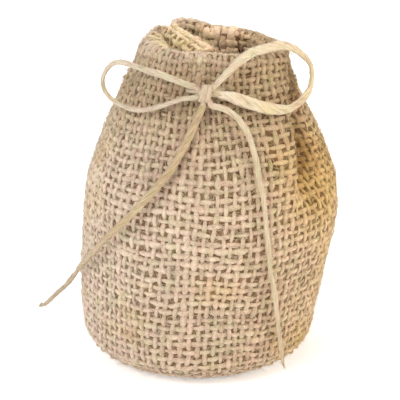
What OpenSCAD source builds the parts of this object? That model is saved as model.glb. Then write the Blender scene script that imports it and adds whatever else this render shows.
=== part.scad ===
// Small drawstring gift pouch in woven jute, standing filled on its round base.
// Origin: centre of the base on the floor. +Z up, -Y is the front with the bow.
// All sizes in millimetres.

/* [Pouch] */
// Height of the standing pouch, floor to rim
pouch_h = 81; // [78:0.5:84]
// Largest radius of the filled belly
belly_r = 31.6; // [31:0.1:31.8]
// Radius of the drawn-in mouth, to the cloth's outer face
mouth_r = 17.8; // [17:0.1:18.2]
// Radius of the sewn-in base disc
base_r = 22; // [21:0.1:25]

/* [Cloth] */
// Thickness of the woven cloth
cloth_t = 0.9; // [0.6:0.1:1]
// Thickness of the base disc
base_t = 1; // [0.8:0.1:1.2]
// Width of the wall's lower edge, turned in over the base disc
base_turn = 6; // [4:0.5:8]
// Width of each flap of the back seam, turned in
flap_w = 7; // [5:0.5:8]
// How far the seam is turned from the back's middle towards the right
seam_turn = 18; // [0:1:20]

/* [Casing] */
// Depth of the turned-in hem, rim to stitch line
hem_depth = 11; // [10:0.5:12]
// Clear width between the wall and the hem, for the cord
casing_gap = 1.6; // [1.5:0.1:1.8]
// Height of the rim above the drawstring
cord_drop = 8; // [7.5:0.5:8.5]

/* [Mouth] */
// Half the angle that each moving lip covers
lip_half = 50; // [40:1:55]
// Height of each moving lip
lip_h = 23; // [20:0.5:25]
// Clearance all round each moving lip
lip_clear = 0.3; // [0.2:0.05:0.5]

/* [Drawstring] */
// Diameter of the cord
cord_d = 1.4; // [1.2:0.1:1.5]
// Radius of the bow's knot
knot_r = 2.1; // [1.8:0.1:2.2]

/* [Stitches] */
// Diameter of the sewing thread
thread_d = 0.5; // [0.4:0.1:0.6]
// Stitch length along every seam
stitch_pitch = 4; // [3.5:0.5:6]

/* [Hidden] */
$fn = 64;

cloth_colour = "tan";
cord_colour = "wheat";
thread_colour = "beige";

// Angles about Z of the four sides of the pouch
front = -90;
back = 90;
left = 180;
right = 0;
seam = back - seam_turn;

lip_z = pouch_h - lip_h;
hem_z = pouch_h - hem_depth;
cord_z = pouch_h - cord_drop;
lid_z = pouch_h - cloth_t;
stitch_z = hem_z + 1;
side_half = 90 - lip_half;
// Angle that lip_clear covers at the mouth
clear_deg = lip_clear / mouth_r * 180 / PI;
// Angle from the front centre to each gap that the drawstring leaves by
exit_deg = 4;
// The cord's wrap round the knot, and how far it stands out from the knot's centre
wrap_d = 1.6;
wrap_r = knot_r - 0.55;
knot_reach = wrap_r + wrap_d / 2;

// The filled pouch's outline, as [share of its height, share of the way to the belly]:
// up from the base disc's edge, then on up to the mouth
low_outline = [[0.01, 0.06], [0.04, 0.63], [0.075, 0.77], [0.15, 0.82], [0.25, 0.92], [0.37, 0.98], [0.47, 1]];
high_outline = [[0.57, 0.93], [0.64, 0.78], [0.73, 0.58], [0.8, 0.38], [0.865, 0.24], [0.93, 0.09], [1, 0]];
outline = concat(
    [for (p = low_outline) [p[0] * pouch_h, base_r + p[1] * (belly_r - base_r)]],
    [for (p = high_outline) [p[0] * pouch_h, mouth_r + p[1] * (belly_r - mouth_r)]]
);

// Distance from the axis to the knot's centre, just clear of the cloth
knot_y = cloth_r(cord_z) + 0.3 + knot_reach;

// The bow's two loops and two tails, each from the knot outwards
loop_left_route = [
    [-2.5, -22.5, 74.5], [-6.5, -21, 75.5], [-10, -19.5, 76.5], [-13, -18, 77], [-16, -16, 77.5],
    [-19, -14, 78], [-21.5, -12, 77.5], [-23.5, -11, 75.5], [-24.5, -10.5, 73], [-24, -11, 70.5],
    [-22, -12.5, 68.5], [-19, -15, 67.5], [-16, -17.5, 67.5], [-12.5, -19.5, 68.5], [-9, -21, 70],
    [-5.5, -22, 71.5], [-2.5, -22.5, 72]
];
loop_right_route = [
    [2.5, -22, 75], [5.5, -21, 78], [8, -19.5, 80], [11, -17.5, 81.5], [14.5, -15.5, 82],
    [17.5, -13, 82], [20.5, -11.5, 81], [23, -10, 79], [25, -9, 76.5], [25.5, -9, 73.5],
    [25, -10, 70.5], [23, -12.5, 68.5], [20, -16, 67.5], [17, -18.5, 68], [13.5, -20, 69],
    [9.5, -21, 70.5], [6, -22, 72], [2.8, -22.5, 72.8]
];
tail_left_route = [
    [-0.5, -23, 70.3], [-1.5, -23.5, 68], [-3, -25, 65], [-4.5, -26, 62], [-6.5, -27, 58.5],
    [-8.5, -28, 55.5], [-11, -28.5, 52.5], [-14, -28.5, 49], [-17, -28, 45.5], [-20, -26.5, 42],
    [-23, -24.5, 38.5], [-26, -21, 34], [-28.5, -17.5, 30], [-30.5, -13.5, 26.5], [-32, -9, 23],
    [-34, -3.5, 18.5], [-36, 1.5, 14.5], [-38, 6.5, 11], [-40, 11, 7.5], [-42, 15.5, 4],
    [-43.5, 19, 1.5], [-44.5, 20.5, 0.8]
];
tail_right_route = [
    [1.5, -23.5, 70.3], [4, -24, 69.8], [6.5, -24.5, 68.5], [8.5, -24.5, 66.2], [10, -24.5, 63.5],
    [11, -25, 60.5], [12, -26, 57], [12.5, -27.5, 53.5], [13.5, -28.5, 49.5], [14, -29.5, 45],
    [14.5, -29.5, 40.5], [15, -29.5, 35.5], [15.5, -29.5, 30.5], [16.5, -28.5, 25.5],
    [17, -28, 21], [17.5, -27, 17], [18, -26, 13], [18.5, -25.5, 9], [19, -25, 5.5]
];

// Outer radius of the cloth at height z, with the outline's corners eased
function cloth_r(z) = (lookup(z - 2, outline) + 2 * lookup(z, outline) + lookup(z + 2, outline)) / 4;

// Heights from z0 to z1, near enough to each other for a smooth outline
function heights(z0, z1, step = 3) =
    let (n = ceil((z1 - z0) / step)) [for (i = [0 : n]) z0 + (z1 - z0) * i / n];

// Angles of the stitches along an arc of the given radius between two angles
function stitch_angles(from, to, radius) =
    let (n = floor((to - from) * PI / 180 * radius / stitch_pitch))
    [for (i = [0 : n - 1]) from + (to - from) * (i + 0.5) / n];

// Section of one layer of cloth through the given heights, inset from the outer face
module cloth_section(zs, inset = 0) {
    outer = [for (z = zs) [cloth_r(z) - inset, z]];
    inner = [for (i = [len(zs) - 1 : -1 : 0]) [cloth_r(zs[i]) - inset - cloth_t, zs[i]]];
    polygon(concat(outer, inner));
}

// Turns a section about Z, from half an angle before the middle to half after it
module swept(middle, half) {
    rotate([0, 0, middle - half])
        rotate_extrude(angle = 2 * half, $fn = 128) children();
}

// One lip's share of the wall's cloth
module lip_wall(middle) {
    color(cloth_colour)
        swept(middle, lip_half - clear_deg) cloth_section(heights(lip_z + lip_clear, lid_z));
}

// The top of the cloth, folded over the rim and turned down inside
module hem_arc(middle, half) {
    hem_in = cloth_t + casing_gap;
    rim_r = cloth_r(pouch_h);
    color(cloth_colour) swept(middle, half) {
        cloth_section(heights(hem_z, lid_z), hem_in);
        translate([rim_r - hem_in - cloth_t, lid_z]) square([hem_in + cloth_t, cloth_t]);
    }
}

// The drawstring where it runs inside the casing
module casing_cord(middle, half) {
    run_r = cloth_r(cord_z) - cloth_t - casing_gap / 2;
    color(cord_colour) swept(middle, half) translate([run_r, cord_z]) circle(d = cord_d);
}

// Stitches that hold the hem to the wall
module hem_stitches(middle, half) {
    wall_r = cloth_r(stitch_z);
    reach = 2 * cloth_t + casing_gap + 0.6;
    color(thread_colour)
        for (a = stitch_angles(middle - half, middle + half, wall_r))
            rotate([0, 0, a]) translate([wall_r + 0.3, 0, stitch_z]) rotate([0, -90, 0])
                cylinder(d = thread_d, h = reach, $fn = 16);
}

// The back seam's two flaps, turned flat against the layer that is inset from the outer face
module seam_flaps(z0, z1, inset) {
    for (side = [-1, 1]) {
        half = flap_w / 2 / cloth_r((z0 + z1) / 2) * 180 / PI;
        color(cloth_colour)
            swept(seam + side * (half + 0.5), half) cloth_section(heights(z0, z1), inset + cloth_t);
    }
}

// A tube along a route: one ring of points at each place, with flat ends
module cord_tube(route) {
    sides = 8;
    last = len(route) - 1;
    function direction(i) =
        let (d = route[min(i + 1, last)] - route[max(i - 1, 0)]) d / norm(d);
    function across(i) =
        let (d = direction(i), c = cross(d, abs(d[2]) < 0.9 ? [0, 0, 1] : [0, 1, 0])) c / norm(c);
    // Each ring's first direction is the last ring's, squared up to the route again
    function frames(i, before) =
        let (d = direction(i), s = before - (before * d) * d, u = s / norm(s))
        i == last ? [u] : concat([u], frames(i + 1, u));
    us = frames(0, across(0));
    points = [for (i = [0 : last], k = [0 : sides - 1])
        let (a = 360 * k / sides, v = cross(direction(i), us[i]))
        route[i] + cord_d / 2 * (cos(a) * us[i] + sin(a) * v)];
    skin = [for (i = [0 : last - 1], k = [0 : sides - 1])
        let (n = (k + 1) % sides)
        [i * sides + k, (i + 1) * sides + k, (i + 1) * sides + n, i * sides + n]];
    start_cap = [for (k = [0 : sides - 1]) k];
    end_cap = [for (k = [sides - 1 : -1 : 0]) last * sides + k];
    color(cord_colour) polyhedron(points, concat([start_cap], skin, [end_cap]));
}

module base_panel() {
    color(cloth_colour) cylinder(r = base_r, h = base_t, $fn = 128);
}

// The wall from its lower edge, turned in over the base disc, up to the rim, less the two lips
module wall_panel() {
    turn_top = base_t + cloth_t;
    outer_z = concat([base_t, 1.5, 2.2, 3, 4, 5.5], heights(7.5, lid_z));
    inner_z = concat([2.6, 3.4, 4.4, 5.8], heights(7.5, lid_z));
    difference() {
        color(cloth_colour) rotate_extrude($fn = 128) polygon(concat(
            [for (z = outer_z) [cloth_r(z), z]],
            [for (i = [len(inner_z) - 1 : -1 : 0]) [cloth_r(inner_z[i]) - cloth_t, inner_z[i]]],
            [[base_r, turn_top], [base_r - base_turn, turn_top], [base_r - base_turn, base_t]]
        ));
        for (middle = [front, back])
            swept(middle, lip_half) translate([mouth_r / 2, lip_z]) square([belly_r, lip_h]);
    }
}

module base_seam_stitches() {
    seam_r = base_r - base_turn / 2;
    color(thread_colour)
        for (a = stitch_angles(0, 360, seam_r))
            rotate([0, 0, a]) translate([seam_r, 0, 0.2])
                cylinder(d = thread_d, h = base_t + cloth_t + 0.1, $fn = 16);
}

module side_seam_allowance() {
    seam_flaps(6, lip_z - 1, 0);
}

module side_seam_stitches() {
    color(thread_colour)
        for (z = [8 : stitch_pitch : lip_z - 2])
            rotate([0, 0, seam]) translate([cloth_r(z) - 1.5 * cloth_t, -1.5, z]) rotate([-90, 0, 0])
                cylinder(d = thread_d, h = 3, $fn = 16);
}

module hem_sides() {
    hem_arc(left, side_half);
    hem_arc(right, side_half);
}

module hem_stitches_sides() {
    hem_stitches(left, side_half);
    hem_stitches(right, side_half);
}

module drawstring_sides() {
    casing_cord(left, side_half - 1);
    casing_cord(right, side_half - 1);
}

// The front lip's wall, with the two gaps between yarns that the drawstring leaves by
module front_lip_wall() {
    gap = cord_d + 0.6;
    difference() {
        lip_wall(front);
        for (side = [-1, 1])
            rotate([0, 0, front + side * exit_deg]) translate([0, -gap / 2, cord_z - gap / 2])
                cube([2 * mouth_r, gap, gap]);
    }
}

module front_lip_hem() {
    hem_arc(front, lip_half - clear_deg);
}

module front_lip_stitches() {
    hem_stitches(front, lip_half - 2);
}

// The drawstring's front run, out through the two gaps and into the knot
module drawstring_front() {
    run_r = cloth_r(cord_z) - cloth_t - casing_gap / 2;
    near = exit_deg - 2;
    half = (lip_half - 1 - near) / 2;
    for (side = [-1, 1]) {
        casing_cord(front + side * (near + half), half);
        color(cord_colour)
            rotate([0, 0, front + side * exit_deg]) translate([run_r, 0, cord_z]) rotate([0, 90, 0])
                cylinder(d = cord_d - 0.2, h = knot_y - run_r - 1.2);
    }
}

module bow_knot() {
    color(cord_colour) translate([0, -knot_y, cord_z]) {
        sphere(r = knot_r);
        rotate([0, 90, 0]) rotate_extrude() translate([wrap_r, 0]) circle(d = wrap_d);
    }
}

module back_lip_wall() {
    lip_wall(back);
}

module back_lip_hem() {
    hem_arc(back, lip_half - clear_deg);
}

module back_lip_stitches() {
    hem_stitches(back, lip_half - 2);
}

module drawstring_back() {
    casing_cord(back, lip_half - 1);
}

module back_lip_seam_allowance() {
    seam_flaps(lip_z + 1, hem_z - 0.5, 0);
    seam_flaps(hem_z, lid_z - 1, cloth_t + casing_gap);
}

module bow_loop_left() { cord_tube(loop_left_route); }

module bow_loop_right() { cord_tube(loop_right_route); }

module cord_tail_left() { cord_tube(tail_left_route); }

module cord_tail_right() { cord_tube(tail_right_route); }

base_panel();
wall_panel();
base_seam_stitches();
side_seam_allowance();
side_seam_stitches();
hem_sides();
hem_stitches_sides();
drawstring_sides();
front_lip_wall();
front_lip_hem();
front_lip_stitches();
drawstring_front();
bow_knot();
back_lip_wall();
back_lip_hem();
back_lip_stitches();
drawstring_back();
back_lip_seam_allowance();
bow_loop_left();
bow_loop_right();
cord_tail_left();
cord_tail_right();
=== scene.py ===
# Drawstring gift pouch in woven jute: its looks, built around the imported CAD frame.
# Shapes are worked out in millimetres and scaled to metres where each mesh is made.
import math

import bpy
import numpy as np
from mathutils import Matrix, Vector


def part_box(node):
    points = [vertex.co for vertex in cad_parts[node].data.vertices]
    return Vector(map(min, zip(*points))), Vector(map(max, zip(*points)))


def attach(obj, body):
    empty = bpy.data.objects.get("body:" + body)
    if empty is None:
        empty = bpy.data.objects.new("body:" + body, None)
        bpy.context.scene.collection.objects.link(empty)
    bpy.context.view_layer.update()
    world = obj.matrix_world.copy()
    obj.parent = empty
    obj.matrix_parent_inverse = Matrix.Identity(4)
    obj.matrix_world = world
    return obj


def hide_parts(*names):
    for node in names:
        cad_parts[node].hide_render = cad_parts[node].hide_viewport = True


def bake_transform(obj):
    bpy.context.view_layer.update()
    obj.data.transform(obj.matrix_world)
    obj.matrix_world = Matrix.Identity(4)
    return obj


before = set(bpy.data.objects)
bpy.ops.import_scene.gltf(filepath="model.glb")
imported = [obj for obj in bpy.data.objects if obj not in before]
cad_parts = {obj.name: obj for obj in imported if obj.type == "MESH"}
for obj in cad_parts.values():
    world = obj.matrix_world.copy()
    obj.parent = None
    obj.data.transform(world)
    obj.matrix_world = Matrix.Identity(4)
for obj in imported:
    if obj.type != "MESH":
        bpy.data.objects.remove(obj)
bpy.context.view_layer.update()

MM = 0.001
# A full turn in radians, for the seeded starts of waves
FULL_TURN = 6.28
rng = np.random.default_rng(12)

# ---- Sizes taken from the frame, in millimetres ----


def box_mm(node):
    """Lowest and highest corners of a CAD node, in millimetres."""
    low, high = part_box(node)
    return np.array(low) / MM, np.array(high) / MM


BELLY_R = box_mm("wall_panel")[1][0]
BASE_R = box_mm("base_panel")[1][0]
POUCH_H = box_mm("hem_sides")[1][2]
HEM_Z = box_mm("hem_sides")[0][2]
CORD_Z = (box_mm("drawstring_back")[0][2] + box_mm("drawstring_back")[1][2]) / 2
KNOT = (box_mm("bow_knot")[0] + box_mm("bow_knot")[1]) / 2
# The mouth is cut into lips in the CAD model, so its radius is given here
MOUTH_R = 17.8

# ---- Cloth ----

# Distance between yarns, in the cloth as woven
PITCH = 2.1
# Half the width and half the thickness of a yarn, and how far it rises and dips in the weave
YARN_W = 0.58
YARN_T = 0.32
WEAVE_RISE = 0.25
# Half the cloth's thickness in the CAD model, where the woven sheet's middle lies
CLOTH_HALF = 0.45
# Height of the wall's lower edge and of the base disc
WALL_START = 0.9
# Distance between the wall's and the hem's middle surfaces
HEM_INSET = 2.5
# Number of yarns that run up the wall; the cloth's width follows from it
WARPS = 96
CLOTH_L = WARPS * PITCH

# The filled pouch's outline, as (share of its height, share of the way from base to belly)
LOW_OUTLINE = [
    (0.01, 0.06), (0.04, 0.63), (0.075, 0.77), (0.15, 0.82), (0.25, 0.92), (0.37, 0.98), (0.47, 1),
]
# The same from the belly up, with the share of the way from the mouth to the belly
HIGH_OUTLINE = [
    (0.57, 0.93), (0.64, 0.78), (0.73, 0.58), (0.8, 0.38), (0.865, 0.24), (0.93, 0.09), (1, 0),
]

# The bow's loops and tails: the CAD model's own routes, in metres
LOOP_LEFT = [
    (-0.0025, -0.0225, 0.0745), (-0.0065, -0.021, 0.0755), (-0.01, -0.0195, 0.0765),
    (-0.013, -0.018, 0.077), (-0.016, -0.016, 0.0775), (-0.019, -0.014, 0.078),
    (-0.0215, -0.012, 0.0775), (-0.0235, -0.011, 0.0755), (-0.0245, -0.0105, 0.073),
    (-0.024, -0.011, 0.0705), (-0.022, -0.0125, 0.0685), (-0.019, -0.015, 0.0675),
    (-0.016, -0.0175, 0.0675), (-0.0125, -0.0195, 0.0685), (-0.009, -0.021, 0.07),
    (-0.0055, -0.022, 0.0715), (-0.0025, -0.0225, 0.072),
]
LOOP_RIGHT = [
    (0.0025, -0.022, 0.075), (0.0055, -0.021, 0.078), (0.008, -0.0195, 0.08),
    (0.011, -0.0175, 0.0815), (0.0145, -0.0155, 0.082), (0.0175, -0.013, 0.082),
    (0.0205, -0.0115, 0.081), (0.023, -0.01, 0.079), (0.025, -0.009, 0.0765),
    (0.0255, -0.009, 0.0735), (0.025, -0.01, 0.0705), (0.023, -0.0125, 0.0685),
    (0.02, -0.016, 0.0675), (0.017, -0.0185, 0.068), (0.0135, -0.02, 0.069),
    (0.0095, -0.021, 0.0705), (0.006, -0.022, 0.072), (0.0028, -0.0225, 0.0728),
]
TAIL_LEFT = [
    (-0.0005, -0.023, 0.0703), (-0.0015, -0.0235, 0.068), (-0.003, -0.025, 0.065),
    (-0.0045, -0.026, 0.062), (-0.0065, -0.027, 0.0585), (-0.0085, -0.028, 0.0555),
    (-0.011, -0.0285, 0.0525), (-0.014, -0.0285, 0.049), (-0.017, -0.028, 0.0455),
    (-0.02, -0.0265, 0.042), (-0.023, -0.0245, 0.0385), (-0.026, -0.021, 0.034),
    (-0.0285, -0.0175, 0.03), (-0.0305, -0.0135, 0.0265), (-0.032, -0.009, 0.023),
    (-0.034, -0.0035, 0.0185), (-0.036, 0.0015, 0.0145), (-0.038, 0.0065, 0.011),
    (-0.04, 0.011, 0.0075), (-0.042, 0.0155, 0.004), (-0.0435, 0.019, 0.0015),
    (-0.0445, 0.0205, 0.0008),
]
TAIL_RIGHT = [
    (0.0015, -0.0235, 0.0703), (0.004, -0.024, 0.0698), (0.0065, -0.0245, 0.0685),
    (0.0085, -0.0245, 0.0662), (0.01, -0.0245, 0.0635), (0.011, -0.025, 0.0605),
    (0.012, -0.026, 0.057), (0.0125, -0.0275, 0.0535), (0.0135, -0.0285, 0.0495),
    (0.014, -0.0295, 0.045), (0.0145, -0.0295, 0.0405), (0.015, -0.0295, 0.0355),
    (0.0155, -0.0295, 0.0305), (0.0165, -0.0285, 0.0255), (0.017, -0.028, 0.021),
    (0.0175, -0.027, 0.017), (0.018, -0.026, 0.013), (0.0185, -0.0255, 0.009),
    (0.019, -0.025, 0.0055),
]


# ---- Small tools ----


def smooth(x):
    """0 below 0, 1 above 1, and an S-curve between."""
    x = np.clip(x, 0, 1)
    return x * x * (3 - 2 * x)


def unit(vectors):
    """Each vector at length 1."""
    return vectors / np.maximum(np.linalg.norm(vectors, axis=-1, keepdims=True), 1e-12)


def columns_summed(grid, reach):
    """Each column of a grid that runs all the way round, plus its neighbours up to reach away."""
    return sum(np.roll(grid, k, axis=1) for k in range(-reach, reach + 1))


def from_list(x, pairs):
    """The value at x, between the values in a list of (x, value)."""
    return np.interp(x, *zip(*pairs))


def drift(x, spacing, count=1):
    """Smooth noise around 0 along x, in count rows, with a new value every spacing."""
    x = np.broadcast_to(x, (count, np.shape(x)[-1]))
    place = (x - x.min()) / spacing
    knots = rng.normal(size=(count, int(place.max()) + 2))
    first = place.astype(int)
    blend = smooth(place - first)
    rows = np.arange(count)[:, None]
    return knots[rows, first] * (1 - blend) + knots[rows, first + 1] * blend


def new_piece(name, shape, material):
    """A smooth-shaded piece in the scene. shape is its points in millimetres, its four-sided faces,
    and its fibre coordinates and tint at each point."""
    points, quads, fibre, tint = shape
    mesh = bpy.data.meshes.new(name)
    mesh.vertices.add(len(points))
    mesh.vertices.foreach_set("co", (np.asarray(points, float) * MM).ravel())
    mesh.loops.add(quads.size)
    mesh.loops.foreach_set("vertex_index", quads.ravel().astype(np.int32))
    mesh.polygons.add(len(quads))
    mesh.polygons.foreach_set("loop_start", np.arange(0, quads.size, 4, dtype=np.int32))
    mesh.polygons.foreach_set("use_smooth", np.ones(len(quads), bool))
    mesh.update(calc_edges=True)
    mesh.validate()
    layer = mesh.attributes.new("fibre", "FLOAT_VECTOR", "POINT")
    layer.data.foreach_set("vector", np.asarray(fibre, float).ravel())
    layer = mesh.attributes.new("tint", "FLOAT", "POINT")
    layer.data.foreach_set("value", np.asarray(tint, float).ravel())
    mesh.materials.append(material)
    piece = bpy.data.objects.new(name, mesh)
    bpy.context.scene.collection.objects.link(piece)
    return piece


# How much a tube's tint varies, over what length, and its limit
TINT_CHANGE = 0.3
TINT_SPACING = 6
TINT_LIMIT = 1.6
# How much a tube's bundles of fibre change from ring to ring, and their limit
BUNDLE_CHANGE = 0.6
BUNDLE_LIMIT = 2


def tubes(centres, ups, widths, heights, sides, twist=0.0, ridges=0.0):
    """The shape of a set of closed tubes, one for each row of centres. ups point out of their flat
    faces. twist turns the fibre's streaks, in radians a millimetre. ridges is how far bundles of
    fibre stand out, as a share of the tube's size."""
    count, rings = centres.shape[:2]
    along = unit(np.gradient(centres, axis=1))
    side = unit(np.cross(along, ups))
    up = np.cross(side, along)
    steps = np.linalg.norm(np.diff(centres, axis=1), axis=2)
    length = np.concatenate([np.zeros((count, 1)), np.cumsum(steps, axis=1)], axis=1)
    angle = 2 * np.pi * np.arange(sides) / sides
    bundles = rng.normal(size=(count, 1, sides)) + BUNDLE_CHANGE * rng.normal(size=(count, rings, sides))
    size = 1 + ridges * bundles.clip(-BUNDLE_LIMIT, BUNDLE_LIMIT)
    points = (
        centres[:, :, None]
        + side[:, :, None] * (widths[:, :, None] * size * np.cos(angle))[..., None]
        + up[:, :, None] * (heights[:, :, None] * size * np.sin(angle))[..., None]
    )
    turned = angle + length[:, :, None] * twist
    seeds = rng.uniform(0, 1000, (count, 1, 1))
    fibre = np.stack([length[:, :, None] + seeds + 0 * turned, np.cos(turned), np.sin(turned)], axis=-1)
    change = rng.normal(size=(count, 1)) + drift(length[:1], TINT_SPACING, count)
    tint = 0.5 + TINT_CHANGE * change.clip(-TINT_LIMIT, TINT_LIMIT)
    tint = np.broadcast_to(tint[:, :, None], turned.shape)
    start = (np.arange(count)[:, None, None] * rings + np.arange(rings - 1)[:, None]) * sides
    here = start + np.arange(sides)
    there = start + (np.arange(sides) + 1) % sides
    quads = np.stack([here, there, there + sides, here + sides], axis=-1).reshape(-1, 4)
    step = np.arange(sides // 2 - 1)
    cap = np.stack([step, step + 1, sides - 2 - step, sides - 1 - step], axis=-1)
    tube_start = np.arange(count)[:, None, None] * rings * sides
    near = (tube_start + cap[None, :, ::-1]).reshape(-1, 4)
    far = (tube_start + (rings - 1) * sides + cap[None]).reshape(-1, 4)
    return points.reshape(-1, 3), np.concatenate([quads, near, far]), fibre.reshape(-1, 3), tint.ravel()


def joined(shapes):
    """Several shapes as one."""
    points, quads, fibre, tint = zip(*shapes)
    starts = np.cumsum([0] + [len(p) for p in points[:-1]])
    quads = [q + start for q, start in zip(quads, starts)]
    return [np.concatenate(part) for part in (points, quads, fibre, tint)]


# ---- Camera ----

CAMERA_TILT = 20
CAMERA_DISTANCE = 0.4
CAMERA_AIM = (-0.00126, 0, 0.0386)
CAMERA_LENS = 142.8


def add_camera():
    """A long lens, in front of the pouch and a little above it."""
    tilt = math.radians(CAMERA_TILT)
    data = bpy.data.cameras.new("camera")
    data.sensor_width = 36
    data.lens = CAMERA_LENS
    camera = bpy.data.objects.new("camera", data)
    back = Vector((0, -math.cos(tilt), math.sin(tilt)))
    camera.location = Vector(CAMERA_AIM) + CAMERA_DISTANCE * back
    camera.rotation_euler = (math.pi / 2 - tilt, 0, 0)
    bpy.context.scene.collection.objects.link(camera)
    bpy.context.scene.camera = camera


add_camera()


# ---- Materials ----


class Nodes:
    """Adds and links nodes in one material."""

    def __init__(self, name):
        self.material = bpy.data.materials.new(name)
        self.material.use_nodes = True
        self.tree = self.material.node_tree
        self.shader = self.tree.nodes["Principled BSDF"]

    def add(self, kind, links=None, **settings):
        """A node with its settings, and with its inputs set to values or linked to outputs."""
        node = self.tree.nodes.new("ShaderNode" + kind)
        for key, value in settings.items():
            setattr(node, key, value)
        for key, value in (links or {}).items():
            self.feed(node.inputs[key], value)
        return node

    def feed(self, socket, value):
        """Sets an input, or links it where the value is another node's output."""
        if isinstance(value, bpy.types.NodeSocket):
            self.tree.links.new(value, socket)
        else:
            socket.default_value = value

    def ramp(self, factor, stops):
        """Colours by factor: stops are (position, red, green, blue)."""
        node = self.add("ValToRGB", {"Fac": factor})
        elements = node.color_ramp.elements
        while len(elements) < len(stops):
            elements.new(0.5)
        for element, (position, *colour) in zip(elements, stops):
            element.position = position
            element.color = (*colour, 1)
        return node.outputs["Color"]

    def noise(self, place, scale, detail=3.0, roughness=0.5):
        """Cloudy noise around one half."""
        inputs = {"Vector": place, "Scale": scale, "Detail": detail, "Roughness": roughness}
        return self.add("TexNoise", inputs).outputs["Fac"]

    def sum_of(self, value, share, rest):
        """A share of a value, added to the rest."""
        return self.add("Math", {0: value, 1: share, 2: rest}, operation="MULTIPLY_ADD").outputs[0]

    def product(self, a, b):
        """One value times another."""
        return self.add("Math", {0: a, 1: b}, operation="MULTIPLY").outputs[0]

    def vector(self, operation, a, b, output="Vector"):
        """One operation on two vectors."""
        return self.add("VectorMath", {0: a, 1: b}, operation=operation).outputs[output]

    def span(self, value, start, end, low=0.0, high=1.0):
        """low where the value is at start or before it, and high at end or past it."""
        limits = {"From Min": start, "From Max": end, "To Min": low, "To Max": high}
        return self.add("MapRange", {"Value": value, **limits}).outputs[0]

    def multiplied(self, amount, colour, by):
        """The colour multiplied by another one, as far as amount says."""
        inputs = {"Factor": amount, "A": colour, "B": (*by, 1)}
        return self.add("Mix", inputs, data_type="RGBA", blend_type="MULTIPLY").outputs["Result"]


# How far one strand may be lighter than the next
STRAND = 0.08
# Scales of the noises: the streaks' for each millimetre of fibre, the others' for each metre
STREAK_SCALE = 2.4
CLUMP_SCALE = 900.0
HUE_SCALE = 320.0
PATCH_SCALE = 60.0
# The shade at which fibre is darkest, and how much more makes its middle and light colours
DARK_AT = 0.32
MIDDLE_AFTER = 0.16
LIGHT_AFTER = 0.4
RELIEF_DEPTH = 0.00025

# What the fibre's colour is multiplied by, here and there
GREENER = (0.93, 1.0, 0.9)
PINKER = (1.02, 0.95, 0.99)
LEFT_LIGHT = (1.06, 1.1, 1.18)
WARMER = (0.93, 0.8, 0.42)
HOLLOW_SHADE = (0.62, 0.52, 0.36)
DARKER_LOW = (0.94, 0.92, 0.9)
DOUBLED_AND_SHADED = (0.75, 0.71, 0.6)
LIT_LEFT = (1.26, 1.27, 1.08)
LIT_RIGHT = (1.2, 1.18, 1.45)

# Which noise makes the fibre greener or pinker, and where the warm patches are
GREENER_HUE = (0.5, 0.7)
PINKER_HUE = (0.5, 0.3)
WARMER_PATCH = (0.55, 0.75)
# How warm the patches are, how warm the painted light at the pouch's right is, and how warm the painted
# shade beside the pleat is
PATCH_WARMTH = 0.5
RIGHT_WARM_LIGHT = 0.4
PLEAT_SHADE_WARMTH = 0.8
# Where each other change of colour begins and where it is full, in metres
LEFT_LIGHT_X = (0, -0.03)
WARM_LIGHT_X = (0.004, 0.03)
DARKER_LOW_Z = (0.035, 0.008)
# The casing's darkening: partly the doubled cloth, partly painted shade under the bow; it fades at the
# rim's top, left lighter as a painted highlight
CASING_FROM_Z = (0.048, 0.07)
CASING_TO_Z = (0.0815, 0.0775)
# The painted shade beside the pleat, warm and dark: its place, and how far from it the warmth begins and
# is full
PLEAT_SHADE = (0.027, -0.014, 0.05)
PLEAT_SHADE_NEAR = (0.018, 0.004)
# Two tall places in the pleat's hollow, where the cloth is browned as painted shade
HOLLOWS = [(0.0225, -0.0135, 0.057), (0.0205, -0.006, 0.071)]
HOLLOW_NEAR = (0.006, 0.002)
HOLLOW_SHAPE = (1, 1, 0.45)
# The middle of the mouth, where painted light makes the cloth's inner face paler
MOUTH_AXIS = (0.002, 0, 0)
MOUTH_NEAR = (0.0162, 0.0142)
MOUTH_Z = (0.062, 0.068)
MOUTH_RIGHT_X = (-0.003, 0.003)


def mottled_and_shaded(nodes, colour, place, position):
    """The fibre's colour mottled, with painted light paler at the left and warmer at the right,
    painted shade warm beside the pleat and brown in its hollows, and darker near the ground."""
    patches = nodes.noise(place, PATCH_SCALE, detail=4.0)
    hues = nodes.noise(place, HUE_SCALE)
    near = nodes.vector("DISTANCE", place, PLEAT_SHADE, "Value")
    # Painted light: the colour warms towards the pouch's right, as under a warm lamp there
    to_right = nodes.span(position["X"], *WARM_LIGHT_X, 0, RIGHT_WARM_LIGHT)
    warmth = nodes.sum_of(nodes.span(patches, *WARMER_PATCH), PATCH_WARMTH, to_right)
    # Painted shade: the cloth beside the pleat turns dark ochre
    warmth = nodes.sum_of(nodes.span(near, *PLEAT_SHADE_NEAR), PLEAT_SHADE_WARMTH, warmth)
    colour = nodes.multiplied(nodes.span(hues, *GREENER_HUE), colour, GREENER)
    colour = nodes.multiplied(nodes.span(hues, *PINKER_HUE), colour, PINKER)
    # Painted light: the pouch's left is paler, as where the light falls more strongly
    colour = nodes.multiplied(nodes.span(position["X"], *LEFT_LIGHT_X), colour, LEFT_LIGHT)
    colour = nodes.multiplied(warmth, colour, WARMER)
    # Painted shade in the pleat's hollows
    for hollow in HOLLOWS:
        apart = nodes.vector("SUBTRACT", place, hollow)
        squashed = nodes.vector("MULTIPLY", apart, HOLLOW_SHAPE)
        away = nodes.add("VectorMath", {0: squashed}, operation="LENGTH").outputs["Value"]
        colour = nodes.multiplied(nodes.span(away, *HOLLOW_NEAR), colour, HOLLOW_SHADE)
    # Darker towards the ground
    return nodes.multiplied(nodes.span(position["Z"], *DARKER_LOW_Z), colour, DARKER_LOW)


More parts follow.
